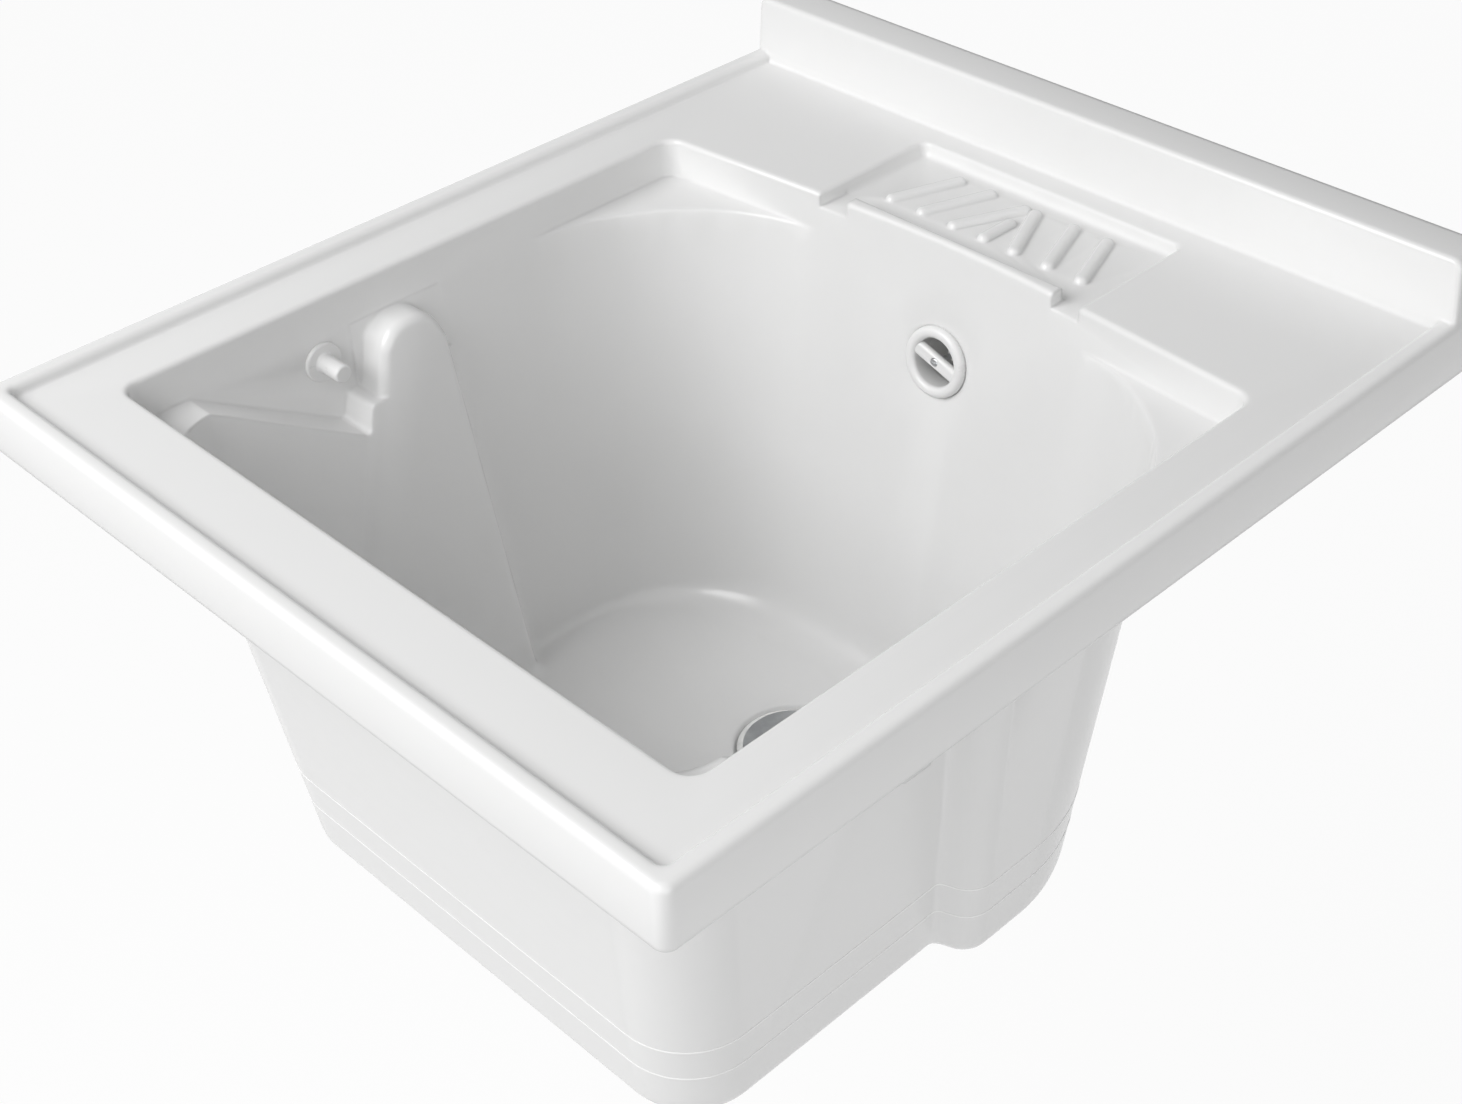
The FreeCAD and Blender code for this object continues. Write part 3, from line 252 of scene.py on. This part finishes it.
@dataclass(frozen=True)
class Finish(ABC):
    """A finish: the record's slot that it belongs to and the nodes of its material."""

    name: str
    slot: str

    @abstractmethod
    def sockets(self, graph: Graph) -> dict[str, Operand]:
        """Inputs of the main shader.

        Args:
            graph: The material's nodes.

        Returns:
            Socket names with their values.
        """

    def material(self) -> bpy.types.Material:
        """The finish's material, made on first use."""
        made = bpy.data.materials.get(self.name)
        if made is None:
            made = bpy.data.materials.new(self.name)
            made.use_nodes = True
            graph = Graph(made.node_tree)
            shader = graph.add("ShaderNodeBsdfPrincipled", None, self.sockets(graph))
            graph.node("ShaderNodeOutputMaterial", None, {"Surface": shader})
        return made


@dataclass(frozen=True)
class GlossResin(Finish):
    """White gloss resin from a polished mould, with a faint ripple and a slightly uneven gloss."""

    colour: Colour = (0.82, 0.82, 0.818, 1)
    shade: Colour = (0.812, 0.812, 0.809, 1)
    roughness: float = 0.21
    roughness_spread: float = 0.05
    ripple: float = 0.00003
    softness: float = 0.0035

    def sockets(self, graph: Graph) -> dict[str, Operand]:
        """See Finish."""
        place = graph.place()
        cloud = graph.noise(place, 9.0)
        smear = graph.noise(graph.place((1.0, 1.0, 2.4)), 38.0, 5.0, 0.62)
        ripple = graph.noise(place, 130.0, 2.0)
        pore = graph.noise(place, 2400.0, 2.0)
        return {
            "Base Color": graph.mix(cloud.above(0.5, 0.5), self.colour, self.shade),
            "Roughness": self.roughness + self.roughness_spread * (smear - 0.5),
            "Normal": graph.bump(ripple + pore * 0.06, self.ripple, 0.35, graph.soft_edges(self.softness)),
            "IOR": 1.5,
        }


@dataclass(frozen=True)
class MattPlastic(Finish):
    """Injection-moulded plumbing plastic with the fine grain of a spark-eroded mould."""

    colour: Colour = (0.86, 0.86, 0.85, 1)
    shade: Colour = (0.82, 0.82, 0.81, 1)

    def sockets(self, graph: Graph) -> dict[str, Operand]:
        """See Finish."""
        place = graph.place()
        cloud = graph.noise(place, 22.0, 4.0)
        grain = graph.noise(place, 1700.0)
        return {
            "Base Color": graph.mix(cloud.above(0.5, 0.45), self.colour, self.shade),
            "Roughness": 0.46 + 0.16 * grain,
            "Normal": graph.bump(grain, 0.00008, 0.5),
        }


@dataclass(frozen=True)
class Rubber(Finish):
    """Moulded rubber with a dusty bloom."""

    colour: Colour = (0.018, 0.018, 0.019, 1)
    bloom: Colour = (0.055, 0.055, 0.056, 1)

    def sockets(self, graph: Graph) -> dict[str, Operand]:
        """See Finish."""
        place = graph.place()
        dust = graph.noise(place, 85.0, 5.0, 0.65)
        grain = graph.noise(place, 2600.0, 2.0)
        return {
            "Base Color": graph.mix(dust.above(0.56, 0.35), self.colour, self.bloom),
            "Roughness": 0.62 + 0.2 * dust,
            "Normal": graph.bump(grain, 0.00006, 0.6),
        }


@dataclass(frozen=True)
class PlatedSteel(Finish):
    """Plated or polished steel with faint tool marks and dull patches."""

    colour: Colour = (0.66, 0.67, 0.68, 1)
    dull: Colour = (0.50, 0.51, 0.52, 1)
    roughness: float = 0.30

    def sockets(self, graph: Graph) -> dict[str, Operand]:
        """See Finish."""
        patch = graph.noise(graph.place(), 160.0, 4.0)
        marks = graph.noise(graph.place((1.0, 1.0, 14.0)), 900.0, 2.0)
        return {
            "Base Color": graph.mix(patch.above(0.55, 0.3), self.colour, self.dull),
            "Metallic": 1.0,
            "Roughness": self.roughness + 0.16 * patch,
            "Normal": graph.bump(marks, 0.00003, 0.4),
        }


RESIN = GlossResin("gloss_white_resin", "moulded_resin")
# A lighter, glossier copy of the white resin for the mould lines. The lighter colour is a painted highlight
# along ridges that are really the same resin as the basin.
HIGHLIGHT_PAINTED_RESIN = GlossResin(
    "white_resin_painted_highlight", "moulded_resin", (0.96, 0.96, 0.957, 1), (0.95, 0.95, 0.947, 1), 0.12,
    softness=0.0001,
)
NYLON = GlossResin("gloss_white_nylon", "peg_plastic", roughness=0.28, ripple=0.00002, softness=0.0005)
POLYPROPYLENE = MattPlastic("matt_white_polypropylene", "plumbing_plastic")
SEAL_RUBBER = Rubber("black_seal_rubber", "seal_rubber")
PLUG_RUBBER = Rubber("grey_plug_rubber", "plug_rubber", (0.32, 0.33, 0.34, 1), (0.40, 0.41, 0.42, 1))
ZINC = PlatedSteel("zinc_plated_steel", "fixing_steel")
STAINLESS = PlatedSteel(
    "polished_stainless_steel", "strainer_steel", (0.74, 0.74, 0.735, 1), (0.66, 0.66, 0.655, 1), 0.16
)


def chains(edges: Iterable[bmesh.types.BMEdge]) -> list[list[bmesh.types.BMEdge]]:
    """Group edges that hang together.

    Args:
        edges: Edges of one mesh.

    Returns:
        The groups.
    """
    left = set(edges)
    groups = []
    while left:
        group = [left.pop()]
        for edge in group:
            for corner in edge.verts:
                touching = left.intersection(corner.link_edges)
                left -= touching
                group.extend(touching)
        groups.append(group)
    return groups


@dataclass
class SubAssembly(ABC):
    """Pieces that are built and dressed together."""

    body: Body = Body.SINK
    merge: float = 2e-6
    flat_angle: float = math.radians(0.6)
    sharp_angle: float = math.radians(28)

    @abstractmethod
    def build(self) -> list[bpy.types.Object]:
        """Make every piece of the group.

        Returns:
            The finished pieces.
        """

    def merged(self, node: str) -> bmesh.types.BMesh:
        """A merged copy of a node's mesh.

        Args:
            node: The node's name.

        Returns:
            The copy, which the caller frees or finishes.
        """
        form = bmesh.new()
        form.from_mesh(frame["nodes"][node].data)
        bmesh.ops.remove_doubles(form, verts=form.verts, dist=self.merge)
        bmesh.ops.dissolve_limit(form, angle_limit=self.flat_angle, verts=form.verts, edges=form.edges)
        return form

    def round_edges(self, form: bmesh.types.BMesh, width: float, segments: int = 2) -> None:
        """Bevel the sharp edges of a form, each run of edges by itself.

        Args:
            form: The form.
            width: Width of the bevel on each side.
            segments: Steps across the bevel.
        """
        sharp = [e for e in form.edges if e.is_manifold and e.calc_face_angle() > self.sharp_angle]
        for chain in chains(sharp):
            bmesh.ops.bevel(form, geom=chain, offset=width, offset_type="OFFSET", affect="EDGES",
                            segments=segments, profile=0.5, material=-1, clamp_overlap=True)

    def finish_piece(self, name: str, form: bmesh.types.BMesh, finish: Finish) -> bpy.types.Object:
        """Turn a form into a smooth, dressed piece that moves with the group's body.

        Args:
            name: Name of the piece.
            form: Its form, which is freed.
            finish: Its finish.

        Returns:
            The piece.
        """
        mesh = bpy.data.meshes.new(name)
        for face in form.faces:
            face.smooth = True
        form.to_mesh(mesh)
        form.free()
        mesh.set_sharp_from_angle(angle=self.sharp_angle)
        mesh.materials.clear()
        mesh.materials.append(finish.material())
        piece = bpy.data.objects.new(name, mesh)
        bpy.context.scene.collection.objects.link(piece)
        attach(piece, self.body.value)
        return piece

    def show(self, node: str, finish: Finish, edge: float) -> bpy.types.Object:
        """Show a node through a merged copy with rounded edges.

        Args:
            node: The node's name.
            finish: Its finish.
            edge: Width of the rounding.

        Returns:
            The piece that stands for the node.
        """
        form = self.merged(node)
        self.round_edges(form, edge)
        piece = self.finish_piece(f"{node}_shown", form, finish)
        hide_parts(node)
        return piece


@dataclass
class Basin(SubAssembly):
    """The moulding, with the two fine lines that its mould leaves round the lower outside, coloured lighter
    than the resin as a painted highlight.
    """

    edge: float = 0.0025
    line_heights: tuple[float, ...] = (-0.235, -0.259)
    line_width: float = 0.0009
    line_height: float = 0.00015
    line_edge: float = 0.00005
    wall_half: float = 0.075
    wall_front: float = 0.38
    wall_foot: float = -0.262
    wall_head: float = -0.02
    wall_facing: float = 0.98
    wall_scatter: float = 0.03

    def build(self) -> list[bpy.types.Object]:
        """See SubAssembly."""
        basin = self.show("basin", RESIN, self.edge)
        self.even_wall(basin.data)
        pieces = [basin]
        for count, height in enumerate(self.line_heights, 1):
            pieces.append(self.mould_line(f"mould_line_{count}", height))
        return pieces

    def even_wall(self, mesh: bpy.types.Mesh) -> None:
        """Give the bowed rear wall the even normals of its bow, so that no streaks fan out from the overflow.

        Args:
            mesh: The basin's mesh.
        """
        wall = [
            corner for corner in mesh.vertices
            if abs(corner.co.x) < self.wall_half and corner.co.y > self.wall_front
            and self.wall_foot < corner.co.z < self.wall_head and corner.normal.y < -self.wall_facing
        ]
        bow = sum(corner.normal.x * corner.co.x for corner in wall) / sum(corner.co.x ** 2 for corner in wall)
        lean = sorted(corner.normal.z for corner in wall)[len(wall) // 2]
        normals = [Vector()] * len(mesh.vertices)
        for corner in wall:
            even = Vector((bow * corner.co.x, -1.0, lean)).normalized()
            if (even - corner.normal).length < self.wall_scatter:
                normals[corner.index] = even
        mesh.normals_split_custom_set_from_vertices(normals)
        LOG.info("rear wall: %d corners, bow %.3f, lean %.3f", len(wall), bow, lean)

    def mould_line(self, name: str, height: float) -> bpy.types.Object:
        """A fine ridge that runs round the outside, in a lighter copy of the resin whose extra lightness is a
        painted highlight.

        Args:
            name: Name of the piece.
            height: Where its upper edge runs.

        Returns:
            The piece.
        """
        form = self.merged("basin")
        whole = list(form.verts) + list(form.edges) + list(form.faces)
        level = (0.0, 0.0, height)
        cut = bmesh.ops.bisect_plane(form, geom=whole, plane_co=level, plane_no=(0.0, 0.0, 1.0))["geom_cut"]
        loops = chains(edge for edge in cut if isinstance(edge, bmesh.types.BMEdge))
        outer = max(loops, key=lambda loop: max(edge.verts[0].co.x for edge in loop))
        kept = {corner for edge in outer for corner in edge.verts}
        bmesh.ops.delete(form, geom=[corner for corner in form.verts if corner not in kept], context="VERTS")
        band = bmesh.ops.extrude_edge_only(form, edges=form.edges)["geom"]
        lower = [corner for corner in band if isinstance(corner, bmesh.types.BMVert)]
        bmesh.ops.translate(form, verts=lower, vec=(0.0, 0.0, -self.line_width))
        bmesh.ops.recalc_face_normals(form, faces=form.faces)
        bmesh.ops.solidify(form, geom=form.faces[:], thickness=-self.line_height)
        bmesh.ops.recalc_face_normals(form, faces=form.faces)
        self.round_edges(form, self.line_edge)
        # The ridge is real geometry; its lighter colour is a painted highlight.
        return self.finish_piece(name, form, HIGHLIGHT_PAINTED_RESIN)


@dataclass
class BoardPegs(SubAssembly):
    """The two pegs over the ledges, with their washers and nuts."""

    edge: float = 0.0003
    washer_edge: float = 0.0001

    def build(self) -> list[bpy.types.Object]:
        """See SubAssembly."""
        pieces = []
        for side in ("left", "right"):
            pieces.append(self.show(f"board_peg_{side}", NYLON, self.edge))
            pieces.append(self.show(f"peg_washer_{side}", ZINC, self.washer_edge))
            pieces.append(self.show(f"peg_nut_{side}", ZINC, self.edge))
        return pieces


@dataclass
class Overflow(SubAssembly):
    """The rose in the rear wall with its screw, and the gasket and elbow behind it."""

    edge: float = 0.0004
    screw_edge: float = 0.0001

    def build(self) -> list[bpy.types.Object]:
        """See SubAssembly."""
        return [
            self.show("overflow_rose", NYLON, self.edge),
            self.show("overflow_screw", ZINC, self.screw_edge),
            self.show("overflow_gasket", SEAL_RUBBER, self.edge),
            self.show("overflow_elbow", POLYPROPYLENE, self.edge),
        ]


@dataclass
class OverflowPipe(SubAssembly):
    """The pipe from the elbow to the waste, with the seal and nut of each union."""

    edge: float = 0.0004

    def build(self) -> list[bpy.types.Object]:
        """See SubAssembly."""
        pieces = [self.show("overflow_pipe", POLYPROPYLENE, self.edge)]
        for end in ("upper", "lower"):
            pieces.append(self.show(f"pipe_seal_{end}", SEAL_RUBBER, self.edge))
            pieces.append(self.show(f"pipe_nut_{end}", POLYPROPYLENE, self.edge))
        return pieces


@dataclass
class Waste(SubAssembly):
    """The strainer in the floor, its screw and gaskets, and the body with its threaded outlet."""

    edge: float = 0.0004
    fine_edge: float = 0.0001
    thread_pitch: float = 0.00231
    thread_height: float = 0.0005
    thread_root: float = 0.0003
    thread_lead: float = 0.0025
    turn_steps: int = 48

    def build(self) -> list[bpy.types.Object]:
        """See SubAssembly."""
        return [
            self.show("waste_flange", STAINLESS, self.fine_edge),
            self.show("waste_screw", STAINLESS, self.fine_edge),
            self.show("waste_gasket_upper", SEAL_RUBBER, self.fine_edge),
            self.show("waste_gasket_lower", SEAL_RUBBER, self.fine_edge),
            self.show("waste_body", POLYPROPYLENE, self.edge),
            self.outlet_thread(),
        ]

    def outlet_thread(self) -> bpy.types.Object:
        """The thread on the outlet, a ridge wound round it.

        Returns:
            The piece.
        """
        outlet = next(mount for mount in frame["record"]["mounts"] if mount["name"] == "waste_outlet")
        radius = outlet["dims"]["r_mm"] / 1000
        length = outlet["dims"]["length_mm"] / 1000 - self.thread_lead * 2
        turns = math.floor(length / self.thread_pitch)
        start = outlet["pos_m"][2] - turns * self.thread_pitch / 2
        root, crest = radius - self.thread_root, radius + self.thread_height
        flank = 0.45 * self.thread_pitch
        form = bmesh.new()
        section = [(root, start - flank), (crest, start), (root, start + flank)]
        corners = [form.verts.new((reach, outlet["pos_m"][1], height)) for reach, height in section]
        profile = form.faces.new(corners)
        rise = (0.0, 0.0, self.thread_pitch / self.turn_steps)
        wound = bmesh.ops.spin(
            form, geom=[profile], cent=outlet["pos_m"], axis=(0.0, 0.0, 1.0), dvec=rise,
            angle=math.tau * turns, steps=self.turn_steps * turns, use_duplicate=False,
        )
        LOG.info("thread has %d turns and ends in %d parts", turns, len(wound["geom_last"]))
        bmesh.ops.recalc_face_normals(form, faces=form.faces)
        return self.finish_piece("outlet_thread", form, POLYPROPYLENE)


@dataclass
class DrainPlug(SubAssembly):
    """The rubber plug, which lifts out of the waste."""

    body: Body = Body.PLUG
    edge: float = 0.0004

    def build(self) -> list[bpy.types.Object]:
        """See SubAssembly."""
        return [self.show("drain_plug", PLUG_RUBBER, self.edge)]


@dataclass(frozen=True)
class Lamp:
    """A square lamp: where it hangs, the length of its side and its watts."""

    name: str
    place: Point
    size: float
    power: float


@dataclass
class Studio:
    """Pale floor, soft light and the camera."""

    floor_height: float = -0.86
    floor_size: float = 14.0
    floor_colour: Colour = (0.85, 0.85, 0.85, 1)
    floor_glow: Colour = (1.0, 1.0, 1.0, 1)
    glow_share: float = 0.94
    backdrop: Colour = (0.976, 0.976, 0.976, 1)
    sky: float = 0.30
    lamp_target: Point = (0.0, 0.25, -0.08)
    lamps: tuple[Lamp, ...] = (
        Lamp("key", (-0.365, -1.215, 1.232), 1.2, 28.5),
        Lamp("left_fill", (-1.114, -0.864, 1.151), 1.2, 3.5),
        Lamp("front_fill", (1.040, -1.235, 0.765), 1.2, 4.0),
        Lamp("right_fill", (1.850, -0.476, 0.198), 1.2, 8.5),
    )
    camera_place: Point = (0.714146, -0.418052, 0.623334)
    camera_turn: Point = (53.0847, 1.3425, 45.4255)
    lens: float = 54.39
    sensor: float = 36.0

    def build(self) -> None:
        """Make the floor, the world, the lamps and the camera."""
        self.make_floor()
        self.make_world()
        for lamp in self.lamps:
            self.add_lamp(lamp)
        self.make_camera()

    @staticmethod
    def shows(graph: Graph) -> Value:
        """A mask that is 1 for rays that show the backdrop: those of the camera, of gloss and of glass."""
        rays = ("Camera", "Glossy", "Transmission")
        camera, gloss, glass = (graph.add("ShaderNodeLightPath", output=f"Is {ray} Ray") for ray in rays)
        return graph.math("MINIMUM", camera + gloss + glass, 1.0)

    def make_floor(self) -> None:
        """A wide pale floor that takes a faint shadow."""
        form = bmesh.new()
        bmesh.ops.create_grid(form, x_segments=1, y_segments=1, size=self.floor_size / 2)
        bmesh.ops.translate(form, verts=form.verts, vec=(0.0, 0.0, self.floor_height))
        mesh = bpy.data.meshes.new("studio_floor")
        form.to_mesh(mesh)
        form.free()
        floor = bpy.data.objects.new("studio_floor", mesh)
        bpy.context.scene.collection.objects.link(floor)
        material = bpy.data.materials.new("pale_floor")
        material.use_nodes = True
        graph = Graph(material.node_tree)
        paper = graph.add("ShaderNodeBsdfDiffuse", None, {"Color": self.floor_colour})
        glow = graph.add("ShaderNodeEmission", None, {"Color": self.floor_glow, "Strength": 1.0})
        share = self.shows(graph) * self.glow_share
        seen = graph.add("ShaderNodeMixShader", None, {0: share, 1: paper, 2: glow})
        graph.node("ShaderNodeOutputMaterial", None, {"Surface": seen})
        mesh.materials.append(material)

    def make_world(self) -> None:
        """Even light from all round, and the backdrop's white where it is seen."""
        world = bpy.data.worlds.new("studio")
        world.use_nodes = True
        bpy.context.scene.world = world
        graph = Graph(world.node_tree)
        soft = graph.add("ShaderNodeBackground", None, {"Color": (1.0, 1.0, 1.0, 1.0), "Strength": self.sky})
        white = graph.add("ShaderNodeBackground", None, {"Color": self.backdrop, "Strength": 1.0})
        seen = graph.add("ShaderNodeMixShader", None, {0: self.shows(graph), 1: soft, 2: white})
        graph.node("ShaderNodeOutputWorld", None, {"Surface": seen})

    def add_lamp(self, lamp: Lamp) -> None:
        """Add one lamp that points at the sink.

        Args:
            lamp: Its name, place, size and power.
        """
        data = bpy.data.lights.new(lamp.name, "AREA")
        data.shape = "SQUARE"
        data.size = lamp.size
        data.energy = lamp.power
        hung = bpy.data.objects.new(lamp.name, data)
        hung.location = lamp.place
        aim = Vector(self.lamp_target) - hung.location
        hung.rotation_euler = aim.to_track_quat("-Z", "Y").to_euler()
        bpy.context.scene.collection.objects.link(hung)

    def make_camera(self) -> None:
        """The camera at the photograph's viewing angle."""
        data = bpy.data.cameras.new("camera")
        data.sensor_fit = "HORIZONTAL"
        data.sensor_width = self.sensor
        data.lens = self.lens
        data.clip_start = 0.01
        camera = bpy.data.objects.new("camera", data)
        camera.location = self.camera_place
        camera.rotation_euler = Euler([math.radians(angle) for angle in self.camera_turn])
        bpy.context.scene.collection.objects.link(camera)
        bpy.context.scene.camera = camera


def main() -> None:
    """Build the studio and the sub-assemblies in order."""
    logging.basicConfig(level=logging.INFO)
    bpy.context.scene.view_settings.view_transform = "Standard"
    Studio().build()
    for assembly in (Basin(), BoardPegs(), Overflow(), OverflowPipe(), Waste(), DrainPlug()):
        for piece in assembly.build():
            LOG.info("%s: %s with %d faces", type(assembly).__name__, piece.name, len(piece.data.polygons))


if __name__ == "__main__":
    main()
